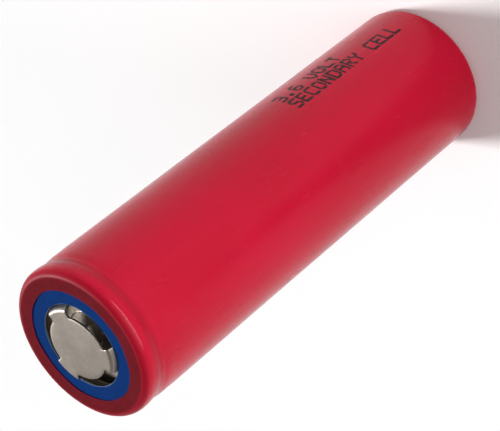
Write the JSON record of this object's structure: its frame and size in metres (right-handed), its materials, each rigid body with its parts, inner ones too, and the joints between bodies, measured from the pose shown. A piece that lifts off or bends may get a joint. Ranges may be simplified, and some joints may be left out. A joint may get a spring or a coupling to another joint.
{
  "type": "cylindrical lithium-ion cell",
  "caption": "Rechargeable cylindrical lithium-ion cell in a red shrink sleeve, with a raised windowed positive cap, a blue insulating washer and a flat bare negative end.",
  "frame": {"origin": "centre of the standing rim, the flat underside of the sleeve's lip round the negative end", "axes": "+Z along the cell's axis from the negative end to the positive terminal; +X through the middle of one of the cap's three legs; +Y completes a right-handed frame"},
  "size_m": [0.0204, 0.0204, 0.0701],
  "materials": {
    "sleeve_film": "semi-gloss red heat-shrink film",
    "washer_film": "satin blue insulating sheet",
    "nickel_steel": "satin nickel-plated steel",
    "gasket_plastic": "natural white polymer",
    "aluminium_sheet": "mill-finish sheet",
    "insulating_board": "pale insulating sheet",
    "separator_film": "white microporous film",
    "graphite_on_copper": "dull graphite coating on copper foil",
    "oxide_on_aluminium": "dull metal-oxide coating on aluminium foil",
    "adhesive_tape": "amber adhesive tape",
    "nickel_strip": "nickel strip"
  },
  "bodies": {
    "root": {"sleeve": "sleeve_film", "insulator_washer": "washer_film", "can": "nickel_steel", "positive_cap": "nickel_steel", "crimp_gasket": "gasket_plastic", "vent_disc": "aluminium_sheet", "cid_insulator": "gasket_plastic", "cid_plate": "aluminium_sheet", "separator_inner": "separator_film", "cathode": "oxide_on_aluminium", "separator_outer": "separator_film", "anode": "graphite_on_copper", "closing_tape_lower": "adhesive_tape", "closing_tape_upper": "adhesive_tape", "positive_tab": "aluminium_sheet", "positive_tab_tape": "adhesive_tape", "negative_tab": "nickel_strip", "negative_tab_tape": "adhesive_tape", "upper_insulator": "insulating_board", "lower_insulator": "insulating_board"}
  },
  "joints": []
}
